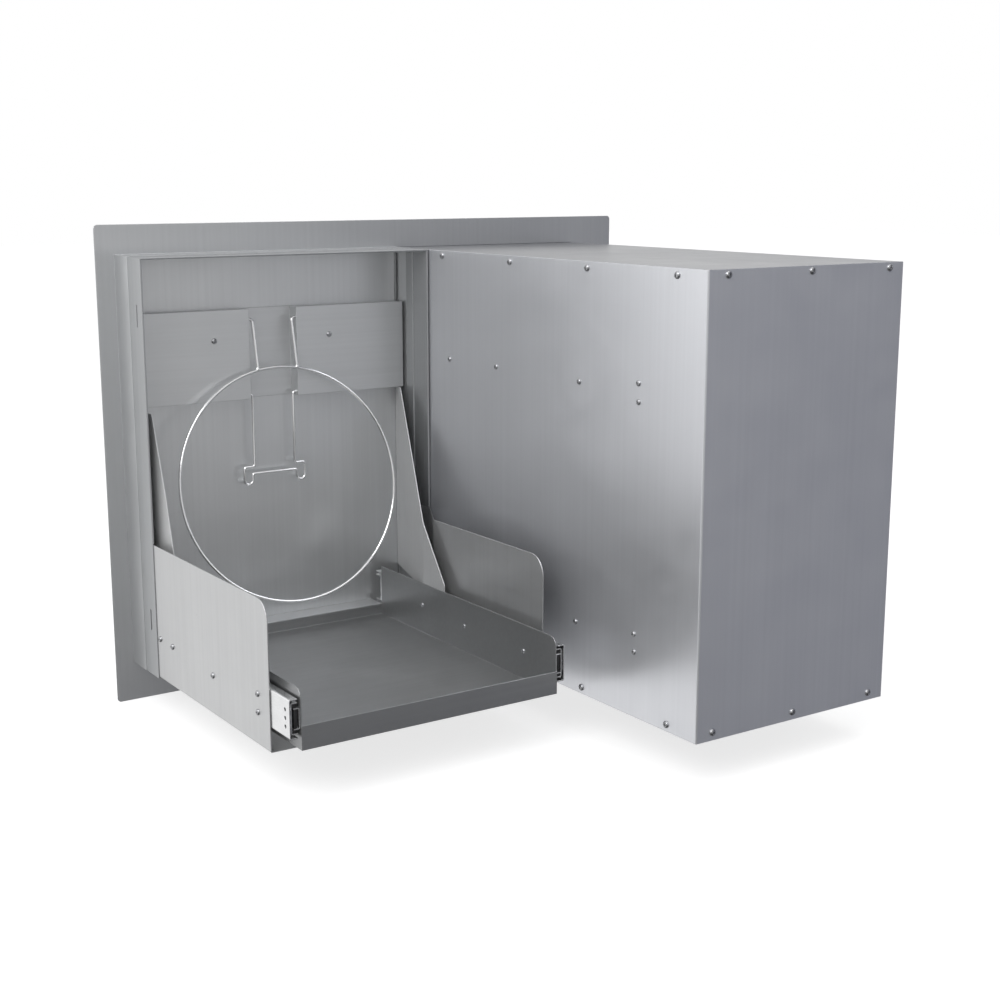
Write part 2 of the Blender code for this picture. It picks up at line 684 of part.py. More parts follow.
def make_handle(label, middle_x, height, length, moving):
    """A bar handle on two posts."""
    bar_y = FRONT_FACE - HANDLE_STANDOFF
    half = length / 2
    ease = 0.0012
    profile = [(0, -half), (HANDLE_RADIUS - ease, -half), (HANDLE_RADIUS, ease - half)]
    profile += [(HANDLE_RADIUS, half - ease), (HANDLE_RADIUS - ease, half), (0, half)]
    bar = turned(label + "_handle_bar", profile, "X", (middle_x, bar_y, height), POLISHED, sides=32)
    seat(bar, moving, (middle_x, bar_y, height))
    for side, sign in (("left", 1), ("right", -1)):
        x = middle_x + sign * (half - POST_INSET)
        name = f"{label}_handle_post_{side}"
        seat_y = FRONT_FACE - FIT
        profile = [(POST_RADIUS, bar_y), (POST_RADIUS, seat_y - 0.002), (POST_FOOT, seat_y)]
        post = turned(name, profile, "Y", (x, 0, height), POLISHED)
        cut_hole(post, "saddle", "X", (x, bar_y, height), HANDLE_RADIUS + FIT, 0.02)
        seat(post, moving, (x, FRONT_FACE, height))


def make_fronts(bodies):
    """The three fronts and their handles."""
    between = (OPENING_LOW + BOX_INNER_HIGH) / 2
    half_gap = RUN_GAP / 2
    low_z = OPENING_BOTTOM - FRONT_OVERLAP + 0.0016
    high_z = OPENING_TOP + FRONT_OVERLAP - 0.0016
    liner = (LINER_LOW, LINER_HIGH, LINER_BOTTOM, LINER_TOP)
    drawer = bodies["trash_drawer"]
    make_front("trash", between + half_gap, OPENING_HIGH + FRONT_OVERLAP, low_z, high_z, liner, drawer)
    make_handle("trash", (LINER_LOW + LINER_HIGH) / 2, high_z - HANDLE_DROP, REFUSE_HANDLE, drawer)
    low_x = BOX_INNER_LOW - FRONT_OVERLAP
    high_x = between - half_gap
    inner_low = BOX_INNER_LOW + RUN_GAP
    inner_high = BOX_INNER_HIGH - RUN_GAP
    for label, bottom, top in (("lower", low_z, SPLIT_HEIGHT), ("upper", SPLIT_HEIGHT + RUN_GAP, high_z)):
        inner_bottom = SHEET + RUN_GAP if label == "lower" else bottom + RUN_GAP
        inner_top = top - RUN_GAP if label == "lower" else BOX_HEIGHT - SHEET - RUN_GAP
        moving = bodies[label + "_drawer"]
        liner = (inner_low, inner_high, inner_bottom, inner_top)
        make_front(label, low_x, high_x, bottom, top, liner, moving)
        make_handle(label, (low_x + high_x) / 2, top - HANDLE_DROP, DRAWER_HANDLE, moving)


def make_hanger_rail(bodies):
    """The hat section across the liner, with a recess that holds the two wire pivots."""
    half = RECESS_WIDTH / 2
    low_x = RECESS_X - half
    high_x = RECESS_X + half
    rail = block("hanger_rail", (RAIL_LOW, FIT, RAIL_BOTTOM), (RAIL_HIGH, RAIL_DEPTH, RAIL_TOP), LINER_STEEL)
    low = (low_x, FIT + SHEET, RAIL_BOTTOM - 0.02)
    cut_block(rail, "recess", low, (high_x, RAIL_DEPTH + 0.02, RAIL_TOP + 0.02))
    right_run = (RAIL_LOW + SHEET, low_x - SHEET)
    left_run = (high_x + SHEET, RAIL_HIGH - SHEET)
    for label, (start, end) in (("right_hollow", right_run), ("left_hollow", left_run)):
        low = (start, -0.02, RAIL_BOTTOM + SHEET)
        cut_block(rail, label, low, (end, RAIL_DEPTH - SHEET, RAIL_TOP - SHEET))
    reach = half + 0.006
    place = (RECESS_X, RING_PIVOT_Y, RING_PIVOT_Z)
    cut_hole(rail, "ring_holes", "X", place, RING_WIRE + PIVOT_PLAY, reach)
    place = (RECESS_X, PROP_PIVOT_Y, PROP_PIVOT_Z)
    cut_hole(rail, "prop_holes", "X", place, PROP_WIRE + PIVOT_PLAY, reach)
    screw_z = RAIL_TOP - HANGER_SCREW_DROP
    places = ((RECESS_X + HANGER_SCREW_LEFT, screw_z), (RECESS_X - HANGER_SCREW_RIGHT, screw_z))
    for number, (x, z) in enumerate(places, 1):
        cut_hole(rail, f"screw_hole_{number}", "Y", (x, RAIL_DEPTH, z), SCREW_RADIUS + HOLE_PLAY, 0.005)
    seat(rail, bodies["trash_drawer"], (RECESS_X, 0, RAIL_BOTTOM))
    for number, (x, z) in enumerate(places, 1):
        make_screw(f"hanger_screw_{number}", "Y", (x, RAIL_DEPTH + FIT / 3, z), bodies["trash_drawer"])


def make_gusset(name, foot_x, wall_x, bend_y, reach, top_y, moving):
    """A sloped brace from the liner to the tray wall."""
    top = RAIL_BOTTOM - GUSSET_UNDER_RAIL
    path = [(foot_x, FIT * 2), (wall_x, bend_y), (wall_x, reach)]
    gusset = prism(name, folded(path, SHEET, 0.006), "Z", GUSSET_BOTTOM, top, LINER_STEEL)
    slope = (TRAY_TOP + GUSSET_OVER_TRAY - top) / (reach - top_y)
    lead = 0.01
    outline = [(top_y - lead, top - slope * lead), (reach + lead, top + slope * (reach + lead - top_y))]
    outline += [(reach + 0.3, outline[1][1]), (reach + 0.3, outline[0][1])]
    low_x = min(foot_x, wall_x) - 0.02
    cut_prism(gusset, "slope", outline, "X", low_x, max(foot_x, wall_x) + 0.02)
    seat(gusset, moving, (foot_x, 0, GUSSET_BOTTOM))


def make_tray(bodies):
    """The tray, the rail in front of it and the two gussets."""
    moving = bodies["trash_drawer"]
    tray = block("tray", (TRAY_LOW, TRAY_START, TRAY_FLOOR), (TRAY_HIGH, TRAY_END, TRAY_TOP), LINER_STEEL)
    low = (TRAY_LOW + SHEET, TRAY_START + SHEET, TRAY_FLOOR + SHEET)
    cut_block(tray, "hollow", low, (TRAY_HIGH - SHEET, TRAY_END - SHEET, TRAY_TOP + 0.02))
    low = (TRAY_LOW - 0.01, TRAY_END - SHEET - FIT, TRAY_FLOOR + TRAY_LIP)
    cut_block(tray, "rear_lip", low, (TRAY_HIGH + 0.01, TRAY_END + 0.01, TRAY_TOP + 0.01))
    low = (TRAY_LOW - 0.01, TRAY_START - 0.01, TRAY_FLOOR + TRAY_UPSTAND)
    cut_block(tray, "upstand", low, (TRAY_HIGH + 0.01, TRAY_START + SHEET + FIT, TRAY_TOP + 0.01))
    outline = corner_rounding(TRAY_END - SHEET - FIT, TRAY_TOP, TRAY_CORNER, 1, 1)
    cut_prism(tray, "corners", outline, "X", TRAY_LOW - 0.01, TRAY_HIGH + 0.01)
    seat(tray, moving, (TRAY_LOW, TRAY_START, TRAY_FLOOR))
    low = (TRAY_LOW, FIT, TRAY_FLOOR)
    high = (TRAY_HIGH, TRAY_START - FIT, TRAY_FLOOR + TRAY_UPSTAND)
    rail = block("lower_rail", low, high, LINER_STEEL)
    cut_low = (TRAY_LOW + SHEET, FIT + SHEET, TRAY_FLOOR - 0.02)
    cut_block(rail, "hollow", cut_low, (TRAY_HIGH - SHEET, TRAY_START - FIT - SHEET, high[2] - SHEET))
    seat(rail, moving, (TRAY_LOW, 0, TRAY_FLOOR))
    half = SHEET / 2
    wall_x = TRAY_LOW - FIT - half
    spec = (RIGHT_GUSSET_BEND, RIGHT_GUSSET_REACH, RIGHT_GUSSET_TOP)
    make_gusset("right_gusset", LINER_LOW + half, wall_x, *spec, moving)
    wall_x = TRAY_HIGH + FIT + half
    spec = (LEFT_GUSSET_BEND, LEFT_GUSSET_REACH, LEFT_GUSSET_TOP)
    make_gusset("left_gusset", LINER_HIGH - half, wall_x, *spec, moving)


def make_ring(bodies):
    """The bag ring: a hoop welded to two prongs whose ends turn out into the rail."""
    maker = bmesh.new()
    circle = []
    for step in range(96):
        angle = 2 * math.pi * (step + 0.5) / 96
        circle.append((RING_RADIUS * math.sin(angle), RING_RADIUS * math.cos(angle) - RING_DROP))
    add_tube(maker, circle, RING_WIRE, 12, closed=True)
    ring = finish_mesh("bag_ring", maker, CHROME)
    foot = RING_DROP - math.sqrt(RING_RADIUS ** 2 - RING_PRONG ** 2)
    for side, sign in (("left", 1), ("right", -1)):
        path = [(sign * WIRE_END, 0.0), (sign * RING_PRONG, 0.0), (sign * RING_PRONG, -foot)]
        maker = bmesh.new()
        add_tube(maker, rounded(path, 0.005), RING_WIRE, 12)
        prong = finish_mesh("bag_ring_prong_" + side, maker, None)
        boolean(ring, prong, "UNION")
        prong.parent = ring
    ring.parent = bodies["bag_ring"]
    ring.rotation_euler = (RING_TILT, 0.0, 0.0)


def make_prop(bodies):
    """The wire prop that swings up under the bag ring."""
    sweep = (PROP_HOOK_OUT - PROP_HOOK_IN) / 2
    centre = (PROP_HOOK_OUT + PROP_HOOK_IN) / 2
    level = PROP_BOTTOM - sweep
    side = [(WIRE_END, 0.0), (PROP_ARM, 0.0), (PROP_ARM, -PROP_STEP), (PROP_HOOK_OUT, -PROP_STEP)]
    side = rounded(side + [(PROP_HOOK_OUT, -level)], 0.0035)
    for step in range(1, 8):
        angle = math.pi * step / 8
        side.append(Vector((centre + sweep * math.cos(angle), -level - sweep * math.sin(angle))))
    inner = [(PROP_HOOK_IN, -level), (PROP_HOOK_IN, -PROP_CROSS), (0.0, -PROP_CROSS)]
    side += rounded(inner, 0.003)
    mirror = [Vector((-point.x, point.y)) for point in side[:-1]]
    maker = bmesh.new()
    add_tube(maker, side + mirror[::-1], PROP_WIRE, 12)
    prop = finish_mesh("ring_prop", maker, CHROME)
    prop.parent = bodies["ring_prop"]


def make_drawer_box(label, bottom, height, moving):
    """A drawer box whose top edge turns in."""
    low = (BOX_INNER_LOW + SLIDE_SPACE, FIT, bottom)
    high = (BOX_INNER_HIGH - SLIDE_SPACE, FIT + DRAWER_LENGTH, bottom + height)
    box = block(label + "_drawer_box", low, high, LINER_STEEL)
    cut_low = [value + SHEET for value in low]
    cut_block(box, "hollow", cut_low, [value - SHEET for value in high])
    cut_low = (low[0] + DRAWER_LIP, low[1] + DRAWER_LIP, high[2] - 0.01)
    cut_block(box, "mouth", cut_low, (high[0] - DRAWER_LIP, high[1] - DRAWER_LIP, high[2] + 0.01))
    seat(box, moving, low)


def build():
    """Every part of the unit."""
    bodies = make_bodies()
    make_flange(bodies)
    make_sleeve(bodies)
    make_box(bodies)
    make_plates(bodies)
    make_slides(bodies)
    make_fronts(bodies)
    make_hanger_rail(bodies)
    make_tray(bodies)
    make_ring(bodies)
    make_prop(bodies)
    make_drawer_box("upper", UPPER_BOX_BOTTOM, UPPER_BOX_HEIGHT, bodies["upper_drawer"])
    make_drawer_box("lower", LOWER_BOX_BOTTOM, LOWER_BOX_HEIGHT, bodies["lower_drawer"])
    bodies["cabinet"].location.z = UNIT_LIFT


build()
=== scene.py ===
"""Looks for the outdoor-kitchen refuse and drawer insert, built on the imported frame."""

import json
import math

import bmesh
import bpy
from mathutils import Matrix, Vector


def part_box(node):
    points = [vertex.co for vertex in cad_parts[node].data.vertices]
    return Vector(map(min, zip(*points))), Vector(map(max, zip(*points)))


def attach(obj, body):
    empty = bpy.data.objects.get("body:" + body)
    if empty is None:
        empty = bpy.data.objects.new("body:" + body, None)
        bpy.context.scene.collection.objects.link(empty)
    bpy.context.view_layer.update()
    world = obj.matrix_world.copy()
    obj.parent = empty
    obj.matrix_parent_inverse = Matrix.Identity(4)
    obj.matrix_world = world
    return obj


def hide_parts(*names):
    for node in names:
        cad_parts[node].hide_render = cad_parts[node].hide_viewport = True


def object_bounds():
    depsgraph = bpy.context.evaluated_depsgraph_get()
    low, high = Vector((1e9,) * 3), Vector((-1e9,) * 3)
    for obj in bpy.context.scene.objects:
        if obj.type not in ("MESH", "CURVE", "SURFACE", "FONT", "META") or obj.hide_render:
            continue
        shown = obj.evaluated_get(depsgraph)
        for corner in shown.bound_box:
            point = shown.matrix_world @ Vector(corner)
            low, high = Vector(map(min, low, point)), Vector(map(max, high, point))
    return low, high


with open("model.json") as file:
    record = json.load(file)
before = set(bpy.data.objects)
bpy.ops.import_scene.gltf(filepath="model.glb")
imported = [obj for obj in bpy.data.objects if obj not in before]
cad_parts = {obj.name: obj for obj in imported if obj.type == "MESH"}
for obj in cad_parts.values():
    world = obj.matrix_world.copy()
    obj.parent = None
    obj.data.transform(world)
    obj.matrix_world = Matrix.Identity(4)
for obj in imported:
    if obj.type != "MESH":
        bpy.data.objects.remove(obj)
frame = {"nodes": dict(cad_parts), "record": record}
cad_low, cad_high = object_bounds()
NODES = frame["nodes"]
LIFT = 0.027
SHEET = 0.0012
RING_WIRE = 0.002
PROP_WIRE = 0.00175
WIRE_END = 0.0385
WIDE_HEAD = 1.15
SLIDE_HEAD = 0.95
TRAY_HEAD = 0.85


# Finishes


def shader_tree(name):
    """A new material with its node tree and Principled shader."""
    material = bpy.data.materials.new(name)
    material.use_nodes = True
    tree = material.node_tree
    return material, tree, tree.nodes["Principled BSDF"]


def stretched_noise(tree, place, stretch, detail=3.0, roughness=0.55):
    """A noise on Object coordinates, stretched by a scale for each axis."""
    mapping = tree.nodes.new("ShaderNodeMapping")
    mapping.inputs["Scale"].default_value = stretch
    tree.links.new(place, mapping.inputs["Vector"])
    noise = tree.nodes.new("ShaderNodeTexNoise")
    noise.inputs["Scale"].default_value = 1.0
    noise.inputs["Detail"].default_value = detail
    noise.inputs["Roughness"].default_value = roughness
    tree.links.new(mapping.outputs["Vector"], noise.inputs["Vector"])
    return noise.outputs["Fac"]


def remapped(tree, value, from_low, from_high, to_low, to_high):
    """A value moved from one range to another, held at its ends."""
    node = tree.nodes.new("ShaderNodeMapRange")
    node.inputs["From Min"].default_value = from_low
    node.inputs["From Max"].default_value = from_high
    node.inputs["To Min"].default_value = to_low
    node.inputs["To Max"].default_value = to_high
    tree.links.new(value, node.inputs["Value"])
    return node.outputs["Result"]


def summed(tree, first, second, operation="ADD"):
    """Two values joined by a sum or another operation."""
    node = tree.nodes.new("ShaderNodeMath")
    node.operation = operation
    tree.links.new(first, node.inputs[0])
    tree.links.new(second, node.inputs[1])
    return node.outputs[0]


def blended(tree, amount, dark, light):
    """A colour between two, by an amount."""
    node = tree.nodes.new("ShaderNodeMix")
    node.data_type = "RGBA"
    for socket, colour in ((6, dark), (7, light)):
        if isinstance(colour, tuple):
            node.inputs[socket].default_value = (*colour, 1.0)
        else:
            tree.links.new(colour, node.inputs[socket])
    tree.links.new(amount, node.inputs[0])
    return node.outputs[2]


def broken_edge(tree, radius):
    """A soft normal across sharp edges, and how near an edge the surface is."""
    bevel = tree.nodes.new("ShaderNodeBevel")
    bevel.samples = 4
    bevel.inputs["Radius"].default_value = radius
    geometry = tree.nodes.new("ShaderNodeNewGeometry")
    turn = tree.nodes.new("ShaderNodeVectorMath")
    turn.operation = "DOT_PRODUCT"
    tree.links.new(bevel.outputs["Normal"], turn.inputs[0])
    tree.links.new(geometry.outputs["Normal"], turn.inputs[1])
    return bevel.outputs["Normal"], remapped(tree, turn.outputs["Value"], 0.98, 0.72, 0.0, 1.0)


def brushed_sheet(name, colour, grain, rough=0.33, streak=0.05, bump=0.05, edge=0.0011, metallic=0.86):
    """Brushed stainless sheet whose grain runs along X, Y or Z."""
    material, tree, shader = shader_tree(name)
    place = tree.nodes.new("ShaderNodeTexCoord").outputs["Object"]
    along = "XYZ".index(grain)
    fine_stretch = [9.0 if axis == along else 1400.0 for axis in range(3)]
    line_stretch = [1.6 if axis == along else 170.0 for axis in range(3)]
    fine = stretched_noise(tree, place, fine_stretch, 4.0, 0.7)
    lines = stretched_noise(tree, place, line_stretch, 3.0, 0.6)
    cloud = stretched_noise(tree, place, (5.0, 5.0, 4.0), 2.0, 0.5)
    smear = stretched_noise(tree, place, (16.0, 16.0, 22.0), 5.0, 0.65)
    line_tone = remapped(tree, lines, 0.3, 0.7, 0.0, 0.6)
    tone = summed(tree, line_tone, remapped(tree, cloud, 0.3, 0.7, 0.0, 0.4))
    low = tuple(channel * (1.0 - streak) for channel in colour)
    high = tuple(min(channel * (1.0 + streak * 0.7), 1.0) for channel in colour)
    body = blended(tree, tone, low, high)
    normal, painted_edge_highlight = broken_edge(tree, edge)
    # Edges get a lighter base grey, a painted highlight along every edge; the same mask also lowers
    # roughness there.
    painted_highlight_colour = tuple(min(channel * 1.28, 0.95) for channel in colour)
    tree.links.new(blended(tree, painted_edge_highlight, body, painted_highlight_colour), shader.inputs["Base Color"])
    fine_gloss = remapped(tree, fine, 0.3, 0.7, -0.035, 0.035)
    gloss = summed(tree, fine_gloss, remapped(tree, smear, 0.35, 0.75, rough - 0.03, rough + 0.05))
    polished = summed(tree, gloss, remapped(tree, painted_edge_highlight, 0.0, 1.0, 0.0, 0.10), "SUBTRACT")
    tree.links.new(polished, shader.inputs["Roughness"])
    shader.inputs["Metallic"].default_value = metallic
    shader.inputs["Anisotropic"].default_value = 0.35
    relief = tree.nodes.new("ShaderNodeBump")
    relief.inputs["Strength"].default_value = bump
    relief.inputs["Distance"].default_value = 0.0002
    tree.links.new(summed(tree, fine, lines), relief.inputs["Height"])
    tree.links.new(normal, relief.inputs["Normal"])
    tree.links.new(relief.outputs["Normal"], shader.inputs["Normal"])
    return material


def plated(name, colour, rough, mottle, metallic=1.0, edge=0.0004, grainy=900.0):
    """A plated, polished or moulded finish with fine mottling."""
    material, tree, shader = shader_tree(name)
    place = tree.nodes.new("ShaderNodeTexCoord").outputs["Object"]
    fine = stretched_noise(tree, place, (grainy, grainy, grainy), 3.0, 0.6)
    cloud = stretched_noise(tree, place, (60.0, 60.0, 60.0), 3.0, 0.55)
    low = tuple(channel * (1.0 - mottle) for channel in colour)
    high = tuple(min(channel * (1.0 + mottle * 0.6), 1.0) for channel in colour)
    body = blended(tree, remapped(tree, cloud, 0.3, 0.7, 0.0, 1.0), low, high)
    normal, painted_edge_highlight = broken_edge(tree, edge)
    # A lighter base colour near edges is a painted edge highlight.
    painted_highlight_colour = tuple(min(channel * 1.2 + 0.01, 0.97) for channel in colour)
    tree.links.new(blended(tree, painted_edge_highlight, body, painted_highlight_colour), shader.inputs["Base Color"])
    tree.links.new(remapped(tree, fine, 0.3, 0.7, rough - 0.03, rough + 0.05), shader.inputs["Roughness"])
    shader.inputs["Metallic"].default_value = metallic
    relief = tree.nodes.new("ShaderNodeBump")
    relief.inputs["Strength"].default_value = 0.05
    relief.inputs["Distance"].default_value = 0.0001
    tree.links.new(fine, relief.inputs["Height"])
    tree.links.new(normal, relief.inputs["Normal"])
    tree.links.new(relief.outputs["Normal"], shader.inputs["Normal"])
    return material


# All these sheets are one brushed stainless; the darker base greys of the sleeve, box panels, tray and
# drawer boxes are painted shade, set to the tones those parts show.
FLANGE_SHEET = brushed_sheet("flange_sheet", (0.60, 0.61, 0.62), "Z")
SLEEVE_SHEET = brushed_sheet("sleeve_sheet", (0.40, 0.41, 0.42), "Z", metallic=0.75)
PLATE_SHEET = brushed_sheet("runner_plate_sheet", (0.58, 0.585, 0.59), "Z")
PANEL_SHEET = brushed_sheet("box_panel_sheet", (0.32, 0.325, 0.34), "Y")
BOX_SHEET = brushed_sheet("drawer_box_sheet", (0.70, 0.71, 0.74), "Z", rough=0.36, streak=0.035)
LINER_SHEET = brushed_sheet("liner_sheet", (0.68, 0.69, 0.70), "Z", rough=0.34)
RAIL_SHEET = brushed_sheet("hanger_rail_sheet", (0.66, 0.67, 0.68), "X", rough=0.36)
GUSSET_SHEET = brushed_sheet("gusset_sheet", (0.60, 0.605, 0.61), "Z", rough=0.50, metallic=0.62)
TRAY_SHEET = brushed_sheet("tray_sheet", (0.34, 0.345, 0.35), "X", rough=0.36, streak=0.07, bump=0.08)
FRONT_SHEET = brushed_sheet("front_sheet", (0.62, 0.63, 0.64), "X", rough=0.30, edge=0.0016)
ZINC = plated("slide_zinc_plate", (0.88, 0.885, 0.89), 0.28, 0.06)
CHROME = plated("wire_chrome", (0.93, 0.935, 0.94), 0.12, 0.03)
SCREW_STEEL = plated("screw_steel", (0.46, 0.465, 0.48), 0.26, 0.10)
SATIN_BAR = plated("handle_satin", (0.70, 0.71, 0.72), 0.24, 0.06, edge=0.0012)
# Near-black slide plastics: real nylon parts whose black also paints the shade seen through the slide
# holes.
BLACK_NYLON_AND_SHADE = plated("slide_black_nylon_and_shade", (0.012, 0.012, 0.013), 0.45, 0.25, metallic=0.0)
BALL_STEEL = plated("slide_ball_steel", (0.82, 0.82, 0.83), 0.10, 0.03)


def finish_cad(material, *names):
    """Give CAD nodes a finish."""
    for name in names:
        node = NODES[name]
        node.data.materials.clear()
        node.data.materials.append(material)


finish_cad(FLANGE_SHEET, "face_flange")
finish_cad(SLEEVE_SHEET, "trash_sleeve")
finish_cad(BOX_SHEET, "box_wrap")
finish_cad(PANEL_SHEET, "box_top_panel", "box_bottom_panel")
finish_cad(PLATE_SHEET, "left_side_plate", "right_side_plate")
finish_cad(LINER_SHEET, "trash_front_liner", "upper_front_liner", "lower_front_liner")
finish_cad(RAIL_SHEET, "hanger_rail", "lower_rail")
finish_cad(GUSSET_SHEET, "left_gusset", "right_gusset")
finish_cad(TRAY_SHEET, "tray", "upper_drawer_box", "lower_drawer_box")
finish_cad(FRONT_SHEET, "trash_front_skin", "upper_front_skin", "lower_front_skin")
for label in ("trash", "upper", "lower"):
    for side in ("left", "right"):
        finish_cad(ZINC, *[f"{label}_slide_{side}_{member}" for member in ("outer", "middle", "inner")])


# Pieces


def piece_from(maker, name, material, body, smooth=True, replaced=()):
    """Close a bmesh into a piece that rides on a body."""
    bmesh.ops.remove_doubles(maker, verts=maker.verts[:], dist=0.000002)
    bmesh.ops.recalc_face_normals(maker, faces=maker.faces[:])
    mesh = bpy.data.meshes.new(name)
    maker.to_mesh(mesh)
    maker.free()
    mesh.materials.append(material)
    piece = bpy.data.objects.new(name, mesh)
    bpy.context.scene.collection.objects.link(piece)
    if smooth:
        mesh.shade_smooth()
        mesh.set_sharp_from_angle(angle=math.radians(35))
    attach(piece, body)
    if replaced:
        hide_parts(*replaced)
    return piece


def spun_profile(maker, points, centre, axis, steps):
    """Spin a profile of (radius, height) points round an axis through centre."""
    axis = Vector(axis).normalized()
    side = axis.orthogonal().normalized()
    verts = [maker.verts.new(Vector(centre) + side * radius + axis * height) for radius, height in points]
    edges = [maker.edges.new(pair) for pair in zip(verts, verts[1:])]
    turn = {"cent": centre, "axis": axis, "angle": math.tau, "steps": steps}
    bmesh.ops.spin(maker, geom=verts + edges, use_merge=True, **turn)


def cross_recess_head():
    """One pan screw head with a cross recess, its seat at the origin and its top along +Z."""
    maker = bmesh.new()
    profile = [(0.0, -0.0002), (0.0036, -0.0002), (0.0038, 0.0002), (0.0037, 0.0009)]
    profile += [(0.0031, 0.0017), (0.0021, 0.0022), (0.0, 0.0024)]
    spun_profile(maker, profile, (0, 0, 0), (0, 0, 1), 24)
    bmesh.ops.remove_doubles(maker, verts=maker.verts[:], dist=0.000002)
    bmesh.ops.recalc_face_normals(maker, faces=maker.faces[:])
    head = bpy.data.meshes.new("screw_head")
    maker.to_mesh(head)
    maker.free()
    holder = bpy.data.objects.new("screw_head", head)
    bpy.context.scene.collection.objects.link(holder)
    cutters = []
    for width, depth in ((0.0040, 0.0009), (0.0009, 0.0040)):
        maker = bmesh.new()
        sunk = Matrix.Translation((0, 0, 0.0020)) @ Matrix.Diagonal((width, depth, 0.0022, 1.0))
        bmesh.ops.create_cube(maker, size=1.0, matrix=sunk)
        mesh = bpy.data.meshes.new("recess")
        maker.to_mesh(mesh)
        maker.free()
        cutter = bpy.data.objects.new("recess", mesh)
        bpy.context.scene.collection.objects.link(cutter)
        modifier = holder.modifiers.new("recess", "BOOLEAN")
        modifier.object = cutter
        modifier.operation = "DIFFERENCE"
        modifier.solver = "EXACT"
        cutters.append(cutter)
    graph = bpy.context.evaluated_depsgraph_get()
    cut = bpy.data.meshes.new_from_object(holder.evaluated_get(graph))
    for thing in [holder, *cutters]:
        bpy.data.objects.remove(thing)
    return cut


HEAD = cross_recess_head()


def screws(name, places, normal, body, replaced=(), scale=1.0):
    """Screw heads at several places, all facing one way, each turned a little differently."""
    maker = bmesh.new()
    facing = Vector(normal).to_track_quat("Z", "Y").to_matrix().to_4x4()
    for number, place in enumerate(places):
        maker.from_mesh(HEAD)
        fresh = maker.verts[-len(HEAD.vertices):]
        spin = Matrix.Rotation(0.7 + 1.9 * number, 4, "Z")
        move = Matrix.Translation(Vector(place)) @ facing @ spin @ Matrix.Scale(scale, 4)
        bmesh.ops.transform(maker, matrix=move, verts=fresh)
    return piece_from(maker, name, SCREW_STEEL, body, replaced=replaced)


def raised(points):
    """Points lifted from box heights to frame heights."""
    return [(x, y, z + LIFT) for x, y, z in points]


def box_screws():
    """The screws that show on the drawer box's two sides and its back."""
    low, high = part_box("box_wrap")
    edges = [(0.1215, 0.532), (0.284, 0.531), (0.447, 0.531), (0.612, 0.531)]
    edges += [(0.1215, 0.008), (0.284, 0.008), (0.445, 0.0083), (0.610, 0.0086)]
    slides = [(0.1387, 0.393), (0.2529, 0.3937), (0.4338, 0.3937), (0.5479, 0.4041), (0.5485, 0.3822)]
    slides += [(0.139, 0.091), (0.253, 0.091), (0.431, 0.0907), (0.547, 0.1032), (0.5478, 0.0811)]
    sides = (("box_side_screws", "box_side_slide_screws", high.x, 1),
             ("box_far_side_screws", "box_far_slide_screws", low.x, -1))
    for edge_name, slide_name, x, sign in sides:
        facing = (sign, 0, 0)
        screws(edge_name, raised([(x, y, z) for y, z in edges]), facing, "cabinet", scale=WIDE_HEAD)
        screws(slide_name, raised([(x, y, z) for y, z in slides]), facing, "cabinet", scale=SLIDE_HEAD)
    back = [(-0.060, 0.533), (-0.1865, 0.533), (-0.3127, 0.5325)]
    back += [(-0.0556, 0.010), (-0.1824, 0.0097), (-0.311, 0.0098)]
    places = raised([(x, high.y, z) for x, z in back])
    screws("box_back_screws", places, (0, 1, 0), "cabinet", scale=WIDE_HEAD)


def middle_of(name):
    """The middle of a node's box."""
    low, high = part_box(name)
    return (low + high) / 2


def carried_screws():
    """The screws of the left plate, the hanger rail and the tray walls."""
    names = [f"left_plate_screw_{number}" for number in range(1, 6)]
    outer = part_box("left_side_plate")[1].x
    places = [(outer, middle_of(name).y, middle_of(name).z) for name in names]
    screws("left_plate_screw_heads", places, (1, 0, 0), "cabinet", names)
    names = ["hanger_screw_1", "hanger_screw_2"]
    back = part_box("hanger_rail")[1].y
    places = [(middle_of(name).x, back, middle_of(name).z) for name in names]
    screws("hanger_screw_heads", places, (0, 1, 0), "trash_drawer", names)
    low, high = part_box("tray")
    spots = [(0.150, 0.0558), (0.2573, 0.0513), (0.3948, 0.0522)]
    places = raised([(low.x + SHEET, y, z) for y, z in spots])
    screws("tray_right_screws", places, (1, 0, 0), "trash_drawer", scale=TRAY_HEAD)
    places = raised([(high.x - SHEET, y, z) for y, z in spots])
    screws("tray_left_screws", places, (-1, 0, 0), "trash_drawer", scale=TRAY_HEAD)


def add_box(maker, low, high, ease=0.0):
    """A box between two corners with its edges eased."""
    middle = (Vector(low) + Vector(high)) / 2
    size = Vector(high) - Vector(low)
    place = Matrix.Translation(middle) @ Matrix.Diagonal((*size, 1.0))
    made = bmesh.ops.create_cube(maker, size=1.0, matrix=place)
    if ease:
        edges = list({edge for vert in made["verts"] for edge in vert.link_edges})
        way = {"segments": 2, "profile": 0.5, "affect": "EDGES", "material": -1}
        bmesh.ops.bevel(maker, geom=edges, offset=ease, **way)


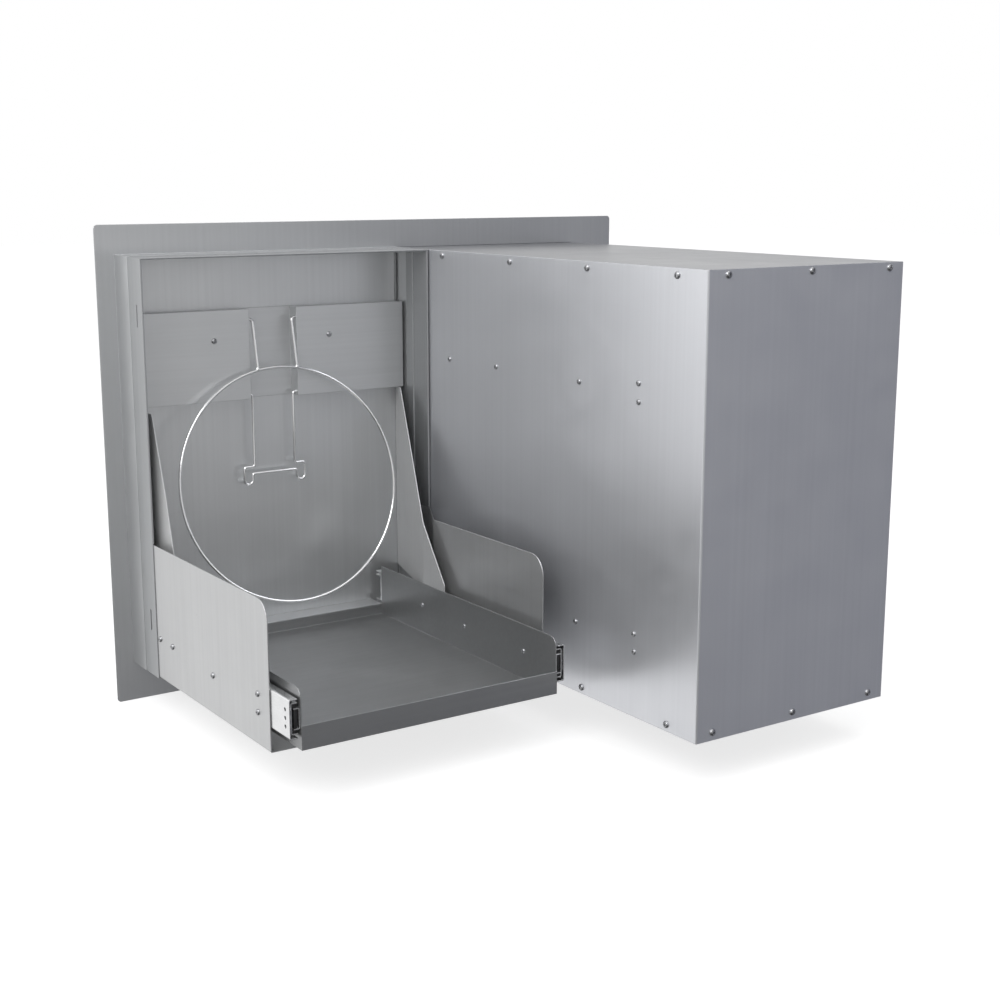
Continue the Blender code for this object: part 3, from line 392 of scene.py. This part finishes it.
def slide_insides(label, side, wall_x, toward, middle_z, end, middle_body, moving_body):
    """The ball cages and end stops inside one telescopic slide."""
    def at(distance):
        return wall_x + toward * distance

    for name, near, far, height, radius, body, back in (
        ("outer_cage", 0.0050, 0.0098, 0.0202, 0.0015, middle_body, 0.012),
        ("inner_cage", 0.0062, 0.0104, 0.0149, 0.0021, moving_body, 0.020),
    ):
        cage = bmesh.new()
        balls = bmesh.new()
        for sign in (-1, 1):
            z = middle_z + sign * height
            last = end - back
            ends = sorted((at(near), at(far)))
            add_box(cage, (ends[0], last - 0.110, z - 0.0003), (ends[1], last, z + 0.0003))
            for step in range(9):
                place = Matrix.Translation(((at(near) + at(far)) / 2, last - 0.007 - step * 0.012, z))
                bmesh.ops.create_uvsphere(balls, u_segments=12, v_segments=8, radius=radius, matrix=place)
        # The cages' near-black stands partly for the shade inside the slides' holes.
        piece_from(cage, f"{label}_slide_{side}_{name}", BLACK_NYLON_AND_SHADE, body)
        piece_from(balls, f"{label}_slide_{side}_{name}_balls", BALL_STEEL, body)
    stop = bmesh.new()
    ends = sorted((at(0.0062), at(0.0112)))
    low = (ends[0], end - 0.016, middle_z - 0.0110)
    add_box(stop, low, (ends[1], end - 0.0012, middle_z + 0.0110), 0.0008)
    piece_from(stop, f"{label}_slide_{side}_end_stop", BLACK_NYLON_AND_SHADE, moving_body)
    guide = bmesh.new()
    ends = sorted((at(0.0045), at(0.0108)))
    for sign in (-1, 1):
        heights = sorted((middle_z + sign * 0.0132, middle_z + sign * 0.0171))
        add_box(guide, (ends[0], end - 0.0100, heights[0]), (ends[1], end - 0.0026, heights[1]), 0.0004)
    piece_from(guide, f"{label}_slide_{side}_end_guides", BLACK_NYLON_AND_SHADE, middle_body)


def all_slide_insides():
    """Cages and stops for the six slides."""
    for label in ("trash", "upper", "lower"):
        for side, toward in (("left", -1), ("right", 1)):
            low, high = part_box(f"{label}_slide_{side}_outer")
            wall_x = high.x + 0.0003 if toward < 0 else low.x - 0.0003
            middle_z = (low.z + high.z) / 2
            bodies = (f"{label}_slides_middle", f"{label}_drawer")
            slide_insides(label, side, wall_x, toward, middle_z, high.y, *bodies)


def wire_along(maker, points, radius, segments=16):
    """A round wire: a circle extruded from point to point, mitred at each, with both ends capped."""
    points = [Vector(point) for point in points]
    runs = [(after - before).normalized() for before, after in zip(points, points[1:])]
    start = Matrix.Translation(points[0]) @ runs[0].to_track_quat("Z", "Y").to_matrix().to_4x4()
    first = bmesh.ops.create_circle(maker, radius=radius, segments=segments, matrix=start)["verts"]
    first_edges = list({edge for vert in first for edge in vert.link_edges})
    edges = first_edges
    for index, run in enumerate(runs):
        grown = bmesh.ops.extrude_edge_only(maker, edges=edges)["geom"]
        verts = {item for item in grown if isinstance(item, bmesh.types.BMVert)}
        edges = [item for item in grown if isinstance(item, bmesh.types.BMEdge)]
        edges = [edge for edge in edges if set(edge.verts) <= verts]
        lean = (run + runs[min(index + 1, len(runs) - 1)]).normalized()
        for vert in verts:
            vert.co += points[index + 1] - points[index]
            vert.co -= run * ((vert.co - points[index + 1]).dot(lean) / run.dot(lean))
    for rim in (first_edges, edges):
        bmesh.ops.contextual_create(maker, geom=rim)


def arc_corners(points, radius, steps=5):
    """Points with each inner corner rounded off."""
    result = [Vector(points[0])]
    for before, here, after in zip(points, points[1:], points[2:]):
        here = Vector(here)
        to_before = Vector(before) - here
        to_after = Vector(after) - here
        turn = to_before.angle(to_after)
        back = min(radius / math.tan(turn / 2), to_before.length * 0.48, to_after.length * 0.48)
        reach = back * math.tan(turn / 2)
        inward = (to_before.normalized() + to_after.normalized()).normalized()
        middle = here + inward * (reach / math.sin(turn / 2))
        first = here + to_before.normalized() * back - middle
        axis = first.cross(here + to_after.normalized() * back - middle).normalized()
        for step in range(steps + 1):
            result.append(middle + Matrix.Rotation((math.pi - turn) * step / steps, 3, axis) @ first)
    result.append(Vector(points[-1]))
    return result


def joint_place(name):
    """A point on a joint's axis."""
    for joint in frame["record"]["behaviour"]["joints"]:
        if joint["name"] == name:
            return Vector(joint["pos_m"])
    raise KeyError(name)


def bag_ring_wire():
    """The chromed hoop, its prongs and the weld beads where they meet."""
    pivot = joint_place("ring_swing")
    low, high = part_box("bag_ring")
    tilt = math.radians(11.68)
    radius = (high.x - low.x) / 2 - RING_WIRE
    drop = (pivot.z - low.z - RING_WIRE) / math.cos(tilt) - radius
    prong = 0.029
    maker = bmesh.new()
    place = Matrix.Translation((radius, 0, -drop))
    section = bmesh.ops.create_circle(maker, radius=RING_WIRE, segments=16, matrix=place)
    loop = section["verts"] + list({edge for vert in section["verts"] for edge in vert.link_edges})
    spin = {"cent": (0, 0, -drop), "axis": (0, 1, 0), "angle": math.tau, "steps": 160, "use_merge": True}
    turn = Matrix.Rotation(math.pi / 2, 3, "Y")
    bmesh.ops.rotate(maker, verts=section["verts"], cent=(0, 0, -drop), matrix=turn)
    bmesh.ops.spin(maker, geom=loop, **spin)
    foot = drop - math.sqrt(radius ** 2 - prong ** 2)
    for sign in (-1, 1):
        path = [(sign * WIRE_END, 0, 0), (sign * prong, 0, 0), (sign * prong, 0, -foot - 0.0004)]
        wire_along(maker, arc_corners(path, 0.005), RING_WIRE)
        bead = Matrix.Translation((sign * prong, 0, -foot + 0.0012))
        bead = bead @ Matrix.Diagonal((0.0033, 0.0029, 0.0030, 1.0))
        bmesh.ops.create_uvsphere(maker, u_segments=16, v_segments=10, radius=1.0, matrix=bead)
    hung = Matrix.Translation(pivot) @ Matrix.Rotation(tilt, 4, "X")
    bmesh.ops.transform(maker, matrix=hung, verts=maker.verts[:])
    piece_from(maker, "bag_ring_wire", CHROME, "bag_ring", replaced=["bag_ring"])


def ring_prop_wire():
    """The bent wire prop below the ring's pivot."""
    pivot = joint_place("prop_swing")
    low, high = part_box("ring_prop")
    hook_out = (high.x - low.x) / 2 - PROP_WIRE
    bottom = pivot.z - low.z - PROP_WIRE
    arm, step, hook_in, cross = 0.0304, 0.0990, 0.0334, 0.1085
    sweep = (hook_out - hook_in) / 2
    level = bottom - sweep
    side = [(WIRE_END, 0, 0), (arm, 0, 0), (arm, 0, -step), (hook_out, 0, -step), (hook_out, 0, -level)]
    half = arc_corners(side, 0.0035)
    for number in range(1, 12):
        angle = math.pi * number / 12
        x = (hook_out + hook_in) / 2 + sweep * math.cos(angle)
        half.append(Vector((x, 0, -level - sweep * math.sin(angle))))
    half += arc_corners([(hook_in, 0, -level), (hook_in, 0, -cross), (0.0, 0, -cross)], 0.003)
    mirror = [Vector((-point.x, 0, point.z)) for point in half[:-1]]
    maker = bmesh.new()
    wire_along(maker, half + mirror[::-1], PROP_WIRE)
    bmesh.ops.translate(maker, vec=pivot, verts=maker.verts[:])
    piece_from(maker, "ring_prop_wire", CHROME, "ring_prop", replaced=["ring_prop"])


def handles():
    """The three bar handles with their posts and collars."""
    for label in ("trash", "upper", "lower"):
        bar = f"{label}_handle_bar"
        carrier = f"{label}_drawer"
        low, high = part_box(bar)
        half = (high.x - low.x) / 2
        radius = (high.z - low.z) / 2
        maker = bmesh.new()
        profile = [(0.0, -half), (radius - 0.0016, -half), (radius - 0.0005, -half + 0.0005)]
        profile.append((radius, -half + 0.0016))
        profile += [(r, -h) for r, h in profile[::-1]]
        spun_profile(maker, profile, (low + high) / 2, (1, 0, 0), 48)
        piece_from(maker, bar + "_satin", SATIN_BAR, carrier, replaced=[bar])
        for side in ("left", "right"):
            post = f"{label}_handle_post_{side}"
            low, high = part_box(post)
            x, z = (low.x + high.x) / 2, (low.z + high.z) / 2
            maker = bmesh.new()
            length = high.y - low.y
            profile = [(0.0, 0.0), (0.0062, 0.0), (0.0065, 0.0004), (0.0065, 0.0016)]
            profile += [(0.0060, 0.0022), (0.0047, 0.0030)]
            profile += [(0.0045, 0.0042), (0.0045, length), (0.0, length)]
            spun_profile(maker, profile, (x, high.y, z), (0, -1, 0), 32)
            piece_from(maker, post + "_turned", SATIN_BAR, carrier, replaced=[post])


box_screws()
carried_screws()
all_slide_insides()
bag_ring_wire()
ring_prop_wire()
handles()


# Floor, light and camera


def pale_floor():
    """A wide pale floor under the flange's lower edge."""
    maker = bmesh.new()
    below = Matrix.Translation((0, 0, cad_low.z - 0.0006))
    bmesh.ops.create_grid(maker, x_segments=4, y_segments=4, size=14.0, matrix=below)
    mesh = bpy.data.meshes.new("floor")
    maker.to_mesh(mesh)
    maker.free()
    floor = bpy.data.objects.new("floor", mesh)
    bpy.context.scene.collection.objects.link(floor)
    material, _, shader = shader_tree("floor_pale")
    shader.inputs["Base Color"].default_value = (0.42, 0.42, 0.42, 1.0)
    shader.inputs["Roughness"].default_value = 0.9
    shader.inputs["Emission Color"].default_value = (1.0, 1.0, 1.0, 1.0)
    shader.inputs["Emission Strength"].default_value = 0.72
    mesh.materials.append(material)
    floor.visible_glossy = False


def grey_ramp(tree, value, stops):
    """A smooth run of greys or tints along a value from -1 to 1."""
    ramp = tree.nodes.new("ShaderNodeValToRGB")
    ramp.color_ramp.interpolation = "EASE"
    while len(ramp.color_ramp.elements) < len(stops):
        ramp.color_ramp.elements.new(0.5)
    for element, (position, shade) in zip(ramp.color_ramp.elements, stops):
        element.position = (position + 1.0) / 2.0
        element.color = (*(shade if isinstance(shade, tuple) else (shade,) * 3), 1.0)
    tree.links.new(remapped(tree, value, -1.0, 1.0, 0.0, 1.0), ramp.inputs["Fac"])
    return ramp.outputs["Color"]


def studio_world():
    """Soft surround light: a bright room in front, a dimmer and cooler one behind."""
    world = bpy.data.worlds.new("studio")
    bpy.context.scene.world = world
    world.use_nodes = True
    tree = world.node_tree
    tree.nodes.clear()
    output = tree.nodes.new("ShaderNodeOutputWorld")
    place = tree.nodes.new("ShaderNodeTexCoord")
    split = tree.nodes.new("ShaderNodeSeparateXYZ")
    tree.links.new(place.outputs["Generated"], split.inputs["Vector"])
    height = split.outputs["Z"]
    front_stops = ((-1.0, 0.20), (-0.6, 0.72), (-0.3, 0.95), (-0.1, 0.86), (1.0, 0.80))
    front = grey_ramp(tree, height, front_stops)
    open_stops = ((-1.0, 0.06), (-0.36, 0.10), (-0.22, 0.26), (-0.08, 0.74), (0.10, 0.62), (1.0, 0.75))
    open_side = grey_ramp(tree, height, open_stops)
    far_stops = ((-1.0, (0.10, 0.105, 0.13)), (-0.3, (0.155, 0.162, 0.20)), (1.0, (0.15, 0.157, 0.20)))
    far_side = grey_ramp(tree, height, far_stops)
    behind = blended(tree, remapped(tree, split.outputs["X"], -0.60, -0.38, 0.0, 1.0), far_side, open_side)
    joined = blended(tree, remapped(tree, split.outputs["Y"], -0.25, 0.35, 0.0, 1.0), front, behind)
    lit = tree.nodes.new("ShaderNodeBackground")
    tree.links.new(joined, lit.inputs["Color"])
    seen = tree.nodes.new("ShaderNodeBackground")
    seen.inputs["Color"].default_value = (1.0, 1.0, 1.0, 1.0)
    rays = tree.nodes.new("ShaderNodeLightPath")
    choice = tree.nodes.new("ShaderNodeMixShader")
    tree.links.new(rays.outputs["Is Camera Ray"], choice.inputs[0])
    tree.links.new(lit.outputs[0], choice.inputs[1])
    tree.links.new(seen.outputs[0], choice.inputs[2])
    tree.links.new(choice.outputs[0], output.inputs["Surface"])


def softbox(name, place, target, size, power):
    """A square area light that looks at a point."""
    data = bpy.data.lights.new(name, "AREA")
    data.shape = "SQUARE"
    data.size = size
    data.energy = power
    lamp = bpy.data.objects.new(name, data)
    bpy.context.scene.collection.objects.link(lamp)
    lamp.location = place
    lamp.rotation_euler = (Vector(target) - Vector(place)).to_track_quat("-Z", "Y").to_euler()
    return lamp


def photo_camera():
    """The camera, behind the unit on the refuse bay's side."""
    data = bpy.data.cameras.new("camera")
    data.lens = 56.09
    data.sensor_width = 36.0
    camera = bpy.data.objects.new("camera", data)
    bpy.context.scene.collection.objects.link(camera)
    yaw, pitch = math.radians(33.98), math.radians(11.738)
    heading = Vector((-math.sin(yaw) * math.cos(pitch), -math.cos(yaw) * math.cos(pitch), -math.sin(pitch)))
    camera.location = (1.1001, 1.9395, 0.6377 + LIFT)
    camera.rotation_mode = "QUATERNION"
    camera.rotation_quaternion = heading.to_track_quat("-Z", "Y")
    bpy.context.scene.camera = camera


pale_floor()
studio_world()
softbox("key", (2.2, 1.6, 2.6), (0.0, 0.3, 0.25), 2.2, 60.0)
softbox("top", (-0.3, 0.2, 3.2), (0.0, 0.2, 0.2), 2.6, 18.0)
softbox("side", (2.4, -1.6, 0.9), (0.0, 0.4, 0.3), 1.6, 5.0)
photo_camera()
bpy.context.scene.view_settings.view_transform = "Standard"
